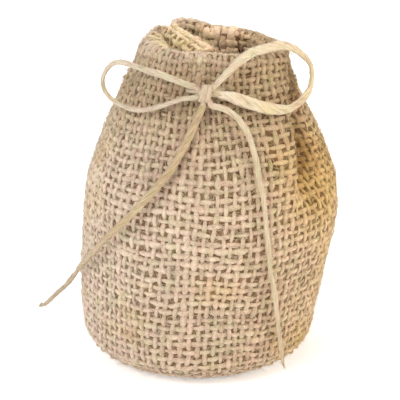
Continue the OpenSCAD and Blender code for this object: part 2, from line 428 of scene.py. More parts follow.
def mouth_colour(nodes, colour, place, position, hem):
    """Darker at the casing: doubled cloth and painted shade under the bow. Painted light paler inside
    the mouth.
    """
    casing = nodes.product(
        nodes.span(position["Z"], *CASING_FROM_Z), nodes.span(position["Z"], *CASING_TO_Z)
    )
    # Partly the doubled cloth, partly painted shade under the bow
    colour = nodes.multiplied(nodes.product(casing, hem), colour, DOUBLED_AND_SHADED)
    flat_place = nodes.vector("MULTIPLY", place, (1, 1, 0))
    from_axis = nodes.vector("DISTANCE", flat_place, MOUTH_AXIS, "Value")
    inside = nodes.product(nodes.span(from_axis, *MOUTH_NEAR), nodes.span(position["Z"], *MOUTH_Z))
    # Painted light on the cloth's inner face, stronger towards the back right
    colour = nodes.multiplied(inside, colour, LIT_LEFT)
    to_right = nodes.product(inside, nodes.span(position["X"], *MOUTH_RIGHT_X))
    return nodes.multiplied(to_right, colour, LIT_RIGHT)


def fibre_material(name, dark, middle, light, blotch=0.4, stretch=(0.3, 1.1, 1.1), bump=0.6, hem=1.0):
    """Plant fibre: streaks along each strand, and darker and lighter strands. blotch is the strength
    of its clumps, stretch the shape of its streaks, bump the depth of its relief, and hem how much
    it darkens at the casing, with the painted shade there."""
    nodes = Nodes(name)
    along = nodes.add("Attribute", attribute_name="fibre").outputs["Vector"]
    tint = nodes.add("Attribute", attribute_name="tint").outputs["Fac"]
    place = nodes.add("TexCoord").outputs["Object"]
    position = nodes.add("SeparateXYZ", {"Vector": place}).outputs

    stretched = nodes.add("Mapping", {"Vector": along, "Scale": stretch}).outputs["Vector"]
    streaks = nodes.noise(stretched, STREAK_SCALE, detail=6.0, roughness=0.65)
    mixed = nodes.sum_of(nodes.noise(place, CLUMP_SCALE), blotch, streaks)
    shade = nodes.sum_of(tint, STRAND, mixed)
    low = DARK_AT + blotch / 2 + STRAND / 2
    stops = [(low, *dark), (low + MIDDLE_AFTER, *middle), (low + LIGHT_AFTER, *light)]
    colour = mottled_and_shaded(nodes, nodes.ramp(shade, stops), place, position)
    colour = mouth_colour(nodes, colour, place, position, hem)
    nodes.feed(nodes.shader.inputs["Base Color"], colour)

    relief = nodes.add("Bump", {"Height": mixed, "Strength": bump, "Distance": RELIEF_DEPTH})
    nodes.feed(nodes.shader.inputs["Normal"], relief.outputs["Normal"])
    roughness = nodes.span(shade, low, low + LIGHT_AFTER, 0.95, 0.7)
    nodes.feed(nodes.shader.inputs["Roughness"], roughness)
    nodes.shader.inputs["Sheen Weight"].default_value = 0.3
    nodes.shader.inputs["Specular IOR Level"].default_value = 0.2
    return nodes.material


JUTE = fibre_material("jute_yarn", (0.44, 0.31, 0.20), (0.70, 0.53, 0.38), (0.88, 0.73, 0.56))
LOOSE = fibre_material("loose_fibre", (0.60, 0.46, 0.31), (0.80, 0.66, 0.49), (0.95, 0.86, 0.70))
# A sheet of matted fibre behind the yarns, dark as the painted shade in the gaps between them
MATTED_AND_SHADE = fibre_material("matted_jute_and_shade", (0.095, 0.048, 0.019), (0.2, 0.115, 0.05), (0.44, 0.29, 0.155))
THREAD = fibre_material("sewing_thread", (0.40, 0.28, 0.18), (0.62, 0.47, 0.33), (0.80, 0.66, 0.5))
# The cord is cleaner and more even than the cloth, and paler in some stretches than in others
CORD_COLOURS = {
    "jute_cord": ((0.42, 0.31, 0.19), (0.62, 0.49, 0.34), (0.84, 0.72, 0.55)),
    "tan_cord": ((0.36, 0.245, 0.12), (0.53, 0.39, 0.225), (0.72, 0.575, 0.375)),
    "pale_cord": ((0.49, 0.36, 0.22), (0.69, 0.57, 0.41), (0.86, 0.76, 0.62)),
}
CORD, TAN_CORD, PALE_CORD = (
    fibre_material(name, *colours, blotch=0.15, stretch=(0.1, 1.5, 1.5), bump=0.8, hem=0.0)
    for name, colours in CORD_COLOURS.items()
)


# ---- The cloth's surface ----


def outer_radius(z):
    """The CAD model's outer radius at each height, with its corners eased as there."""
    low = [(h * POUCH_H, BASE_R + share * (BELLY_R - BASE_R)) for h, share in LOW_OUTLINE]
    high = [(h * POUCH_H, MOUTH_R + share * (BELLY_R - MOUTH_R)) for h, share in HIGH_OUTLINE]
    heights, radii = np.array(low + high).T
    return sum(
        weight * np.interp(z + shift, heights, radii)
        for shift, weight in ((-2, 0.25), (0, 0.5), (2, 0.25))
    )


# Steps of the cloth's grid: millimetres from row to row, and columns round the pouch
ROW_STEP = 0.5
COLUMNS = 960


def profile():
    """How far up the cloth, its radius, its height and how far it is set in from the wall, at each
    row of its grid: from the lower edge, up the wall, over the rim and down to the hem's edge."""
    fold_r = HEM_INSET / 2
    fold_z = POUCH_H - fold_r - CLOTH_HALF
    wall_z = np.linspace(WALL_START, fold_z, 400)
    turn = np.linspace(0, np.pi, 40)[1:-1]
    hem_z = np.linspace(fold_z, HEM_Z, 60)
    z = np.concatenate([wall_z, fold_z + fold_r * np.sin(turn), hem_z])
    inset = np.concatenate([0 * wall_z, fold_r * (1 - np.cos(turn)), HEM_INSET + 0 * hem_z])
    radius = outer_radius(np.minimum(z, fold_z)) - CLOTH_HALF
    length = np.concatenate([[0], np.cumsum(np.hypot(np.diff(radius - inset), np.diff(z)))])
    v = np.arange(0, length[-1], ROW_STEP)
    return v, *(np.interp(v, length, values) for values in (radius, z, inset))


V, RADIUS, HEIGHT, INSET = profile()
CLOTH_V = V[-1]
RIM = int(np.argmax(HEIGHT))

# A fold forms from its START height, over a height of FORMS. FOLD is half its width along the
# cloth, REACH how far the yarns beside it give way, and SHARE how much of its width it takes in.
# Past 1 the cloth turns back on itself.
# The pleat at the right of the front, with its crest's place along the cloth by height, how far
# the crest stands out, and the hollow's depth by height
PLEAT_START = 42
PLEAT_FORMS = 16
PLEAT_FOLD = 6
PLEAT_REACH = 36
PLEAT_SHARE = 2.0
PLEAT_CREST = [(45, 21), (56, 19.8), (64, 21.8), (75, 24.6)]
PLEAT_RISE = 1.3
PLEAT_DEPTH = [(42, 0), (50, 4), (58, 6), (68, 4.5), (80, 3)]
# The tuck, a finger of the rim that leans into the mouth from the back left, with its place along
# the cloth, the way it points, how far it reaches in, and how much lower its tip is
TUCK_START = 56
TUCK_FORMS = 21
TUCK_FOLD = 22
TUCK_REACH = 100
TUCK_SHARE = 0.86
TUCK_S = -77.5
TUCK_WAY = np.array([0.37, -0.93])
TUCK_DEPTH = 27
TUCK_DROP = 0.4
# How many columns to each side the tuck's corners and the hem's direction are evened over
TUCK_ROUNDING = 9
INWARD_ROUNDING = 14
# The share of the hem's inset that is lost beside the tuck, and how far along the cloth
SQUEEZE = 0.7
SQUEEZE_REACH = 9
# Where the hem is fuller, along the cloth, and by how much
FULL_S = -38
FULL_REACH = 26
FULLER = 1.3
# The belly's bulge beyond the pleat: its height and radians from the front, its reach and size
BULGE_Z = 47
BULGE_REACH_Z = 26
BULGE_THETA = 1.5
BULGE_REACH_THETA = 1.2
BULGE = 1.2
# Soft gathers above the shoulder and lumps in the belly: their size, how many go round, how slowly
# they change with height, and the heights over which they form
RIPPLE = 0.22
GATHERS = (21, 26, 33)
GATHER_RATE = 25
GATHER_START = 50
GATHER_FORMS = 22
LUMPS = ((2, 18), (3, 25), (5, 14), (7, 11))
LUMP_FORMS = 12
# How far the pouch leans to the right at each height
LEAN = [(0, -1.9), (12, -1.4), (35, 1.0), (68, 1.0), (80, 2.2)]
# How far the rim rises or dips, by degrees from the front, towards the right, and from which height
RISE_START = 64
RISE_FORMS = 16
RIM_RISE = [
    (0, 0), (60, -1.2), (90, -2.4), (120, -2.8), (150, -1.7), (180, -1.3), (200, 0.6), (212, 0.8),
    (225, 0.4), (240, -0.2), (270, -0.6), (300, 0), (360, 0),
]


def bump(x):
    """1 at 0, falling smoothly to 0 at 1 to each side."""
    return np.cos(np.clip(x, -1, 1) * np.pi / 2) ** 2


def gather(place, fold, reach, share):
    """Change of width where a fold takes cloth in: less in the fold, more within reach, none overall."""
    near = bump(place / reach)
    return share * (near * fold.sum(1, keepdims=True) / near.sum(1, keepdims=True) - fold)


def ripples(s, z):
    """Soft gathers above the shoulder, and the belly's faint unevenness."""
    around = 2 * np.pi * s / CLOTH_L
    gathers = np.zeros((len(z), COLUMNS))
    for waves in GATHERS:
        size = rng.uniform(0.5, 1)
        gathers += size * np.cos(waves * around + rng.uniform(0, FULL_TURN) + z / GATHER_RATE)
    lumps = np.zeros((len(z), COLUMNS))
    for waves, rate in LUMPS:
        sideways = np.cos(waves * around + rng.uniform(0, FULL_TURN))
        lumps += sideways * np.cos(z / rate + rng.uniform(0, FULL_TURN))
    gathers *= smooth((z - GATHER_START) / GATHER_FORMS)
    return RIPPLE * (gathers + lumps * smooth(z / LUMP_FORMS))


def gathered_angles(from_pleat, from_tuck, pleat, tuck):
    """The angle round the pouch at which each bit of cloth lies. A fold turns back on itself, and
    the cloth beside it is gathered less, so that the yarns further round stay upright."""
    step = CLOTH_L / COLUMNS
    in_pleat = bump(from_pleat / PLEAT_FOLD)
    in_tuck = smooth((1 - abs(from_tuck / TUCK_FOLD)) / 0.35)
    width = 2 * np.pi * RADIUS[:, None] / CLOTH_L
    width = width + pleat * gather(from_pleat, in_pleat, PLEAT_REACH, PLEAT_SHARE)
    width = width + tuck * gather(from_tuck, in_tuck, TUCK_REACH, TUCK_SHARE)
    arc = np.cumsum(width, axis=1) * step
    arc -= arc[:, [COLUMNS // 2]]
    arc *= 2 * np.pi * RADIUS[:, None] / (arc[:, [-1]] - arc[:, [0]] + width[:, [0]] * step)
    return arc / RADIUS[:, None]


def pleat_relief(from_pleat, pleat):
    """How far the pleat's crest stands out, less the depth of the hollow beside it. x counts from
    the fold's middle, -1 and 1 at its edges."""
    x = from_pleat / PLEAT_FOLD
    crest = np.exp(-(((x + 1) / 0.8) ** 2))
    hollow = smooth((x + 0.9) / 1.3) * (1 - smooth((x - 0.5) / 2.2))
    depth = from_list(HEIGHT, PLEAT_DEPTH)[:, None]
    return PLEAT_RISE * pleat * crest - depth * hollow


def hem_set_in(plan, s, from_tuck, tuck):
    """How far and which way the hem is set in from the wall, seen from above: less where the tuck
    begins, and more where the hem is fuller."""
    along = np.roll(plan, -1, axis=1) - np.roll(plan, 1, axis=1)
    inward = np.stack([-along[..., 1], along[..., 0]], axis=-1)
    inward = unit(columns_summed(inward, INWARD_ROUNDING))
    squeezed = 1 - SQUEEZE * tuck * bump((abs(from_tuck) - TUCK_FOLD) / SQUEEZE_REACH)
    full = 1 + FULLER * bump((s - FULL_S) / FULL_REACH)
    return inward * (INSET[:, None] * squeezed * full)[..., None]


def cloth_grid():
    """The cloth's middle surface: a row of points for each V, and a column for each step round."""
    s = (np.arange(COLUMNS) / COLUMNS - 0.5) * CLOTH_L
    z = HEIGHT[:, None]
    pleat = smooth((z - PLEAT_START) / PLEAT_FORMS)
    tuck = smooth((z - TUCK_START) / TUCK_FORMS)
    from_pleat = s - PLEAT_FOLD - from_list(HEIGHT, PLEAT_CREST)[:, None]
    from_tuck = ((s - TUCK_S) / CLOTH_L + 0.5) % 1 * CLOTH_L - CLOTH_L / 2 + 0 * z
    theta = gathered_angles(from_pleat, from_tuck, pleat, tuck)

    out = pleat_relief(from_pleat, pleat) + ripples(s, z)
    bulge = bump((z - BULGE_Z) / BULGE_REACH_Z) * bump((theta - BULGE_THETA) / BULGE_REACH_THETA)
    out += BULGE * bulge
    ray = np.stack([np.sin(theta), -np.cos(theta)], axis=-1)
    plan = ray * (RADIUS[:, None] + out)[..., None]

    # The tuck, a finger of cloth with straight sides and a round tip
    x = 1 - abs(from_tuck / TUCK_FOLD)
    finger = tuck * np.clip((x - 0.05) / 0.85, 0, 1)
    plan += TUCK_DEPTH * finger[..., None] * TUCK_WAY
    rounded = columns_summed(plan, TUCK_ROUNDING) / (2 * TUCK_ROUNDING + 1)
    plan += (rounded - plan) * (tuck * bump(from_tuck / TUCK_REACH))[..., None]
    plan += hem_set_in(plan, s, from_tuck, tuck)

    lift = from_list(np.degrees(theta) % 360, RIM_RISE) * smooth((z - RISE_START) / RISE_FORMS)
    lift -= TUCK_DROP * finger
    return np.stack([plan[..., 0] + from_list(z, LEAN), plan[..., 1], z + lift], axis=-1)


GRID = cloth_grid()


def grid_normals(grid):
    """Outward normals of the cloth; the columns run all the way round."""
    across = np.roll(grid, -1, axis=1) - np.roll(grid, 1, axis=1)
    up = np.gradient(grid, axis=0)
    return unit(np.cross(across, up))


NORMALS = grid_normals(GRID)


def on_cloth(grid, s, v):
    """The grid's value at places s along the width, 0 at the front, and v up the cloth."""
    s, v = np.broadcast_arrays(s, v)
    column = (s / CLOTH_L + 0.5) * COLUMNS
    row = np.clip(v / ROW_STEP, 0, len(V) - 1.001)
    c0, r0 = np.floor(column).astype(int), np.floor(row).astype(int)
    fc, fr = (column - c0)[..., None], (row - r0)[..., None]
    c1, c0 = (c0 + 1) % COLUMNS, c0 % COLUMNS
    low = grid[r0, c0] * (1 - fc) + grid[r0, c1] * fc
    high = grid[r0 + 1, c0] * (1 - fc) + grid[r0 + 1, c1] * fc
    return low * (1 - fr) + high * fr


# ---- Weaving ----

RINGS_PER_CROSSING = 4
YARN_SIDES = 6
# How neighbouring yarns stray together: waves of (size, number that go round, rate, turn)
WANDER = [
    (rng.uniform(0.2, 0.45), waves, rng.uniform(7, 16), rng.uniform(0, FULL_TURN))
    for waves in (2, 3, 5, 8)
]
# How far one yarn strays from the next, along its whole length and from place to place
STRAY = 0.16
STRAY_ALONG = 0.17
STRAY_SPACING = 3.5
# How much thicker one yarn is than the next, and one place than the next, as shares
THICKER = 0.1
THICKER_ALONG = 0.17
THICKER_SPACING = 2.2
# How much wider a yarn is where it lies on top of another, as a share
SPREAD = 0.12


def wander(s, v):
    """How far neighbouring yarns stray together from their straight places."""
    around = 2 * np.pi * s / CLOTH_L
    return sum(size * np.sin(n * around + v / rate + turn) for size, n, rate, turn in WANDER)


def cloth_surface(s, v):
    """Point and outward normal of the cloth, with its yarns a little out of line."""
    # Up the cloth they stray less, in a pattern of their own, and not at all at its edges
    stray_s, stray_v = wander(s, v), 0.6 * wander(s + 37, v + 11)
    v = np.clip(v + stray_v * smooth(v / 8) * smooth((CLOTH_V - v) / 8), 0, CLOTH_V - 0.01)
    return on_cloth(GRID, s + stray_s, v), unit(on_cloth(NORMALS, s + stray_s, v))


def weave(surface, s_range, v_range, warp, lift=0.0, ends=None, fill=1.0):
    """The yarns one way of a plain weave on a surface, lift millimetres above it. Warp yarns run
    along v and weft yarns along s. ends gives where each yarn starts and stops, from its own place,
    and fill widens the yarns to close the gaps between them."""
    side_range, (start, end) = (s_range, v_range) if warp else (v_range, s_range)
    first, last = math.ceil(side_range[0] / PITCH - 0.5), math.floor(side_range[1] / PITCH - 0.5)
    index = np.arange(first, last + 1)[:, None]
    place = (index + 0.5) * PITCH
    rings = int((end - start) / PITCH * RINGS_PER_CROSSING) + 1
    if ends:
        start, end = ends(place)
    along = start + (end - start) * np.linspace(0, 1, rings)
    count = len(index)
    across = place + STRAY_ALONG * drift(along, STRAY_SPACING, count)
    across = across + STRAY * rng.normal(size=(count, 1)).clip(-1.3, 1.3)
    over = np.cos(np.pi * (along / PITCH - 0.5 + index)) * (1 if warp else -1)
    centres, up = surface(across, along) if warp else surface(along, across)
    centres = centres + up * (lift + WEAVE_RISE * over)[..., None]
    thicker = THICKER * rng.normal(size=(count, 1))
    thick = np.exp(thicker + THICKER_ALONG * drift(along, THICKER_SPACING, count))
    wide = thick * (1 + SPREAD * over)
    return tubes(centres, up, fill * YARN_W * wide, YARN_T * thick, YARN_SIDES, twist=1.4, ridges=0.07)


HAIR_SIDES = 3
HAIR_RINGS = 5
# How strongly loose fibres curl
CURL = 0.9
# Fibres to each half of the cloth, and the share of them that stands out from it
CLOTH_HAIRS = 5500
STANDING = 0.12


def hairs(middles, along, up, length, lift, rise, thickness=0.04):
    """Loose fibres. Each lies along its direction, lift above its place, and one end rises."""
    count = len(middles)
    share = np.linspace(-0.5, 0.5, HAIR_RINGS)[:, None]
    curl = (length * rng.normal(size=count) * CURL)[:, None, None]
    aside = np.cross(up, along)[:, None]
    height = lift[:, None, None] + rise[:, None, None] * (share + 0.5) ** 2
    path = middles[:, None] + along[:, None] * length[:, None, None] * share + aside * curl * share**2
    path = path + up[:, None] * height
    size = np.full(path.shape[:2], thickness) * rng.uniform(0.6, 1.3, (count, 1))
    return tubes(path, np.broadcast_to(up[:, None], path.shape), size, size, HAIR_SIDES)


def cloth_hairs(s0, s1):
    """Fibres that lie across the yarns and the gaps between them, and some that stand out."""
    count = CLOTH_HAIRS
    s, v = rng.uniform(s0, s1, count), rng.uniform(0.5, CLOTH_V - 1, count)
    middles, up = cloth_surface(s, v)
    across = unit(cloth_surface(s + 0.3, v)[0] - middles)
    turn = rng.choice([0, np.pi / 2], count) + rng.normal(size=count) * 0.55
    along = across * np.cos(turn)[:, None] + np.cross(up, across) * np.sin(turn)[:, None]
    standing = rng.uniform(size=count) < STANDING
    length = rng.uniform(1.6, 4.5, count)
    lift = rng.uniform(0.1, 0.7, count)
    rise = np.where(standing, rng.uniform(0.5, 1.5, count), rng.uniform(-0.4, 0.4, count))
    return hairs(middles, along, up, length, lift, rise)


SHEET_T = 0.12
# Distance between the sheet's points, and how closely its fibre is streaked, for each millimetre
SHEET_STEP = 0.9
SHEET_STREAKS = 1.5


def thin_sheet(name, middle, up):
    """Matted fibres between the yarns, coloured as painted shade: a thin closed sheet through a grid of
    points.
    """
    rows, columns = middle.shape[0] - 1, middle.shape[1] - 1
    points = np.concatenate([(middle + up * level).reshape(-1, 3) for level in (0, -SHEET_T)])
    wide = columns + 1
    corner = (np.arange(rows)[:, None] * wide + np.arange(columns)).ravel()
    top = np.stack([corner, corner + 1, corner + 1 + wide, corner + wide], axis=-1)
    below = wide * (rows + 1)
    edge = np.concatenate([
        np.arange(wide),
        wide * np.arange(1, rows + 1) + columns,
        wide * rows + np.arange(columns - 1, -1, -1),
        wide * np.arange(rows - 1, 0, -1),
    ])
    after = np.roll(edge, -1)
    rim = np.stack([after, edge, edge + below, after + below], axis=-1)
    quads = np.concatenate([top, top[:, ::-1] + below, rim])
    tint = np.full(len(points), 0.5)
    return new_piece(name, (points, quads, points * SHEET_STREAKS, tint), MATTED_AND_SHADE)


# ---- Cloth pieces ----

# Where each half of the cloth begins and ends along its width, and which way it faces
QUARTER = CLOTH_L / 4
HALVES = {"front": (-QUARTER, QUARTER, -1), "back": (QUARTER, 3 * QUARTER, 1)}
# The back seam: its place along the cloth, where its stitches start, and its flaps' width, lowest
# height, yarn width, and place along the cloth's normal on the wall and on the hem
SEAM_S = 86
SEAM_START_Z = 8
FLAP_W = 7
FLAP_START_Z = 6
FLAP_FILL = 1.5
FLAP_ON_WALL = -1.7
FLAP_ON_HEM = 1.6
# Stitches: height of the base's row, steps from one to the next, lengths, half the thread's
# thickness, how far they stand out from the cloth, and how deep their ends dip
BASE_STITCH_Z = 3.5
SEAM_PITCH = 4
HEM_PITCH = 5.4
BASE_PITCH = 4.8
STITCH_L = 2.4
SEAM_STITCH_L = 1.8
THREAD_R = 0.24
STITCH_LIFT = 0.85
SEAM_LIFT = 0.5
STITCH_DIP = 0.7


def bend_with_lip(piece):
    """Bakes the piece's place into its mesh, where it stays."""
    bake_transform(piece)


def add_cloth(half):
    """Half of the wall with its hem: a dark matted sheet that paints the shade between the yarns, warp,
    weft and loose fibres.
    """
    s0, s1, _ = HALVES[half]
    s = np.linspace(s0, s1, int((s1 - s0) / SHEET_STEP))
    v = np.linspace(0, CLOTH_V - 0.01, int(CLOTH_V / SHEET_STEP))[:, None]
    sheet = thin_sheet(f"cloth_{half}", on_cloth(GRID, s, v), unit(on_cloth(NORMALS, s, v)))
    yarns = []
    for way in ("warp", "weft"):
        woven = weave(cloth_surface, (s0, s1), (0, CLOTH_V), way == "warp")
        yarns.append(new_piece(f"{way}_yarns_{half}", woven, JUTE))
    fuzz = new_piece(f"loose_fibres_{half}", cloth_hairs(s0, s1), LOOSE)
    for piece in (sheet, *yarns, fuzz):
        bend_with_lip(piece)
    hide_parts("wall_panel", "hem_sides", f"{half}_lip_wall", f"{half}_lip_hem")


def sewn(name, s, v, lift=STITCH_LIFT, length=STITCH_L):
    """A row of stitches at places s, v. Each one rises between the two holes that it dips into."""
    s, v = np.broadcast_arrays(np.asarray(s, float), v)
    share = np.linspace(-0.5, 0.5, 7)
    uneven = 0.15 * rng.normal(size=(len(s), 1))
    middles, up = cloth_surface(s[:, None] + length * share, v[:, None] + uneven)
    height = lift - STITCH_DIP * (2 * np.abs(share)) ** 3
    path = middles + up * height[:, None]
    size = np.full(path.shape[:2], THREAD_R)
    return new_piece(name, tubes(path, up, size, size, 6, twist=4, ridges=0.06), THREAD)


def wall_v(z):
    """How far up the cloth the wall reaches a height."""
    return float(np.interp(z, HEIGHT[:RIM], V[:RIM]))


def add_hem_stitches(half):
    """The row of stitches under the casing, around half of the neck."""
    s0, s1, _ = HALVES[half]
    row = sewn(f"hem_stitches_{half}", np.arange(s0 + 2, s1 - 1, HEM_PITCH), wall_v(HEM_Z + 1))
    bend_with_lip(row)
    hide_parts(f"{half}_lip_stitches", "hem_stitches_sides")


def add_seam():
    """The back seam: two woven flaps turned flat, inside the wall and over the hem's inner face."""
    on_wall = (wall_v(FLAP_START_Z), wall_v(HEM_Z - 1)), FLAP_ON_WALL
    on_hem = (V[RIM] + 1.5, CLOTH_V), FLAP_ON_HEM
    flaps = []
    for side in (-1, 1):
        near, far = SEAM_S + side * 0.6, SEAM_S + side * FLAP_W
        s_range = (min(near, far), max(near, far))
        for v_range, lift in (on_wall, on_hem):
            for warp in (True, False):
                flaps.append(weave(cloth_surface, s_range, v_range, warp, lift, fill=FLAP_FILL))
    piece = new_piece("seam_flaps", joined(flaps), JUTE)
    bend_with_lip(piece)
    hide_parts("side_seam_allowance", "back_lip_seam_allowance")
    v = np.arange(wall_v(SEAM_START_Z), wall_v(HEM_Z - 2), SEAM_PITCH)
    row = sewn("seam_stitches", np.full(len(v), SEAM_S), v, SEAM_LIFT, SEAM_STITCH_L)
    bend_with_lip(row)
    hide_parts("side_seam_stitches")


# How far the base disc goes past its outline, into the seam
SEAM_ALLOWANCE = 0.6


def add_base():
    """The round woven base, with the stitches that hold it in the wall."""
    radius = BASE_R + SEAM_ALLOWANCE

    def flat(s, v):
        s, v = np.broadcast_arrays(s, v)
        place = np.stack([s + LEAN[0][1], v, np.full(s.shape, WALL_START)], axis=-1)
        return place, np.broadcast_to([0.0, 0.0, -1.0], place.shape)

    def chord(place):
        half = np.sqrt(np.maximum(radius**2 - place**2, 1))
        return -half, half

    reach = (-radius, radius)
    yarns = joined([weave(flat, reach, reach, warp, ends=chord) for warp in (True, False)])
    yarns = new_piece("base_yarns", yarns, JUTE)
    across = np.linspace(-1, 1, 40)
    x, y = np.meshgrid(across * radius, across * radius)
    x, y = x * np.sqrt(1 - (y / radius) ** 2 / 2), y * np.sqrt(1 - (x / radius) ** 2 / 2)
    sheet = thin_sheet("base_cloth", *flat(x, y))
    for piece in (yarns, sheet):
        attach(piece, "pouch")
    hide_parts("base_panel")
    places = np.arange(-CLOTH_L / 2, CLOTH_L / 2, BASE_PITCH)
    row = sewn("base_stitches", places, wall_v(BASE_STITCH_Z))
    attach(row, "pouch")
    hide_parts("base_seam_stitches")


CASING_CORD_R = 0.5


def add_casing_cord():
    """The cord inside the casing: a front part, a back part and the sides, as in the CAD model."""
    v = wall_v(CORD_Z)
    edge = CLOTH_L / 8
    parts = {
        "front": [(-edge, edge)],
        "back": [(CLOTH_L / 2 - edge, CLOTH_L / 2 + edge)],
        "sides": [(edge, CLOTH_L / 2 - edge), (-CLOTH_L / 2 + edge, -edge)],
    }
    for part, spans in parts.items():
        cords = []
        for s0, s1 in spans:
            s = np.linspace(s0, s1, 60)[None]
            middles, up = cloth_surface(s, np.full(s.shape, v))
            size = np.full(s.shape, CASING_CORD_R)
            inside = middles - up * HEM_INSET / 2
            cords.append(tubes(inside, up, size, size, 8, twist=1, ridges=0.06))
        piece = new_piece(f"casing_cord_{part}", joined(cords), CORD)
        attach(piece, "pouch" if part == "sides" else f"mouth_{part}")
        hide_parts(f"drawstring_{part}")


# ---- Cords ----

# Distance between the points of a cord's line
LINE_STEP = 0.5
# Loose fibres for each millimetre of cord, and how far they stand off its middle
CORD_HAIRS = 1.6
CORD_HAIR_LIFT = 0.4
# Fibres in a frayed end, how far they spread, and how thick they are
FRAYED_HAIRS = 12
FRAYED_SPREAD = 0.14
FRAYED_T = 0.09
# No loose fibre of a cord goes lower than this
LOWEST_HAIR = 0.05
# How uneven a cord's size is, and over how many points of its line
CORD_UNEVEN = 0.07
CORD_EVEN_POINTS = 9
# How far a cord's flat side leans up with the cloth behind it, by height
CORD_TILT = [(45, 0), (60, 0.4), (68, 0.5), (76, 0.1)]


def curve_through(route):
    """A smooth line through the route's points, in millimetres."""
    p = np.array(route, float) / MM
    p = np.concatenate([[2 * p[0] - p[1]], p, [2 * p[-1] - p[-2]]])
    stretches = []
    for a, b, c, d in zip(p, p[1:], p[2:], p[3:]):
        steps = max(2, int(np.linalg.norm(c - b) / LINE_STEP))
        t = (np.arange(steps) / steps)[:, None]
        bend = (2 * a - 5 * b + 4 * c - d) * t**2 + (3 * b - a - 3 * c + d) * t**3
        stretches.append(b + 0.5 * ((c - a) * t + bend))
    return np.concatenate(stretches + [p[-2][None]])


def cord_tubes(line, width, thickness):
    """A flat bundle of fibres along a line. width and thickness are lists of (share of it, size)."""
    share = np.linspace(0, 1, len(line))[None]
    outward = unit(line * np.array([1, 1, 0]) + 1e-6)
    outward[:, 2] = from_list(line[:, 2], CORD_TILT)
    outward = unit(outward)[None]
    uneven = np.exp(CORD_UNEVEN * drift(share * len(line), CORD_EVEN_POINTS))
    half_w = from_list(share, width) / 2 * uneven
    half_t = from_list(share, thickness) / 2 * uneven
    return tubes(line[None], outward, half_w, half_t, 20, twist=0.35, ridges=0.09)


def cord_hairs(line):
    """Fibres that have come loose along a cord."""
    count = int(len(line) * LINE_STEP * CORD_HAIRS)
    at = rng.integers(2, len(line) - 2, count)
    along = unit(line[at + 2] - line[at - 2])
    up = unit(np.cross(along, rng.normal(size=(count, 3))))
    lean = unit(along * rng.choice([-1, 1], (count, 1)) + 0.25 * rng.normal(size=(count, 3)))
    length = rng.uniform(1.5, 4.5, count)
    lift = np.full(count, CORD_HAIR_LIFT)
    rise = rng.uniform(-0.2, 0.9, count)
    return hairs(line[at], lean, up, length, lift, rise, thickness=0.035)


def frayed_end(line, size):
    """The split fibres at a cord's cut end."""
    count = FRAYED_HAIRS
    along = unit(line[-1] - line[-4])
    start = line[-1] - along * 0.6
    spread = unit(along + FRAYED_SPREAD * rng.normal(size=(count, 3)))
    up = unit(np.cross(spread, rng.normal(size=(count, 3))))
    length = rng.uniform(1.2, 2.4, count)
    offset = rng.normal(size=(count, 3)) * size * 0.15
    middles = start + offset + spread * (length / 2)[:, None]
    rise = rng.uniform(-0.3, 0.3, count)
    return hairs(middles, spread, up, length, np.zeros(count), rise, thickness=FRAYED_T)


# Each cord's width, as (share of its length, width) from the knot out
LEFT_LOOP_W = [(0, 1.3), (0.15, 1.5), (0.35, 1.2), (0.5, 1.0), (0.75, 1.0), (1, 1.1)]
RIGHT_LOOP_W = [
    (0, 1.4), (0.15, 2.2), (0.35, 2.2), (0.5, 1.8), (0.7, 2.0), (0.8, 3.1), (0.93, 2.7), (1, 1.5),
]
LEFT_TAIL_W = [(0, 1.5), (0.15, 1.9), (0.35, 1.6), (0.6, 1.2), (0.95, 1.1), (1, 0.7)]
RIGHT_TAIL_W = [(0, 1.3), (0.2, 1.3), (0.5, 1.1), (0.95, 1.1), (1, 0.8)]
# Every cord's thickness, in the same way
CORD_T = [(0, 1.1), (0.5, 1.0), (1, 0.9)]


def add_cord(body, node, route, width, end, material):
    """One loop or tail of the bow."""
    name = body + "_cord"
    line = curve_through(route)
    piece = new_piece(name, cord_tubes(line, width, CORD_T), material)
    loose = [cord_hairs(line)]
    if end == "bare":
        loose.append(frayed_end(line, width[-1][1]))
    points, *rest = joined(loose)
    points[:, 2] = np.maximum(points[:, 2], LOWEST_HAIR)
    fuzz = new_piece(name + "_fibres", (points, *rest), material)
    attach(piece, body)
    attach(fuzz, body)
    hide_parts(node)


def add_bow():
    """The two loops and two tails of the one cord."""
    add_cord("loop_left", "bow_loop_left", LOOP_LEFT, LEFT_LOOP_W, "object", CORD)
    add_cord("loop_right", "bow_loop_right", LOOP_RIGHT, RIGHT_LOOP_W, "object", PALE_CORD)
    add_cord("tail_left", "cord_tail_left", TAIL_LEFT, LEFT_TAIL_W, "bare", TAN_CORD)
    add_cord("tail_right", "cord_tail_right", TAIL_RIGHT, RIGHT_TAIL_W, "bare", PALE_CORD)


# The knot's two turns: how far each is to the side of its middle, and how far it slants
WRAPS = [(-0.55, 0.44), (0.6, 0.24)]
WRAP_RINGS = 60
# A turn's radius from front to back and from top to bottom, and half the cord's width and thickness
WRAP_DEEP = 1.25
WRAP_TALL = 1.65
WRAP_W = 0.68
WRAP_T = 0.4896
# The way each end of the cord takes from the knot into the casing, at the right
INTO_CASING = [(0.4, 0.1, 0.3), (1.8, 0.4, 0.5), (3.2, 1.4, 0.3), (4.2, 3.0, 0)]
# Half the length, width and thickness of the lump of cord inside the turns
CORE = (1.6, 1.3, 1.1)
CORE_RINGS = 24


def knot_wraps():
    """Two turns of the cord round the crossing."""
    turn = np.linspace(0, 2 * np.pi, WRAP_RINGS)
    across = np.stack([0 * turn, np.cos(turn), np.sin(turn)], axis=-1)
    width = np.full((1, WRAP_RINGS), WRAP_W)
    thickness = np.full((1, WRAP_RINGS), WRAP_T)
    wraps = []
    for offset, slant in WRAPS:
        sideways = offset + slant * np.sin(turn)
        ring = np.stack([sideways, WRAP_DEEP * np.cos(turn), WRAP_TALL * np.sin(turn)], axis=-1)
        centres = (KNOT + ring)[None]
        wraps.append(tubes(centres, across[None], width, thickness, 16, twist=0.3, ridges=0.09))
    return wraps


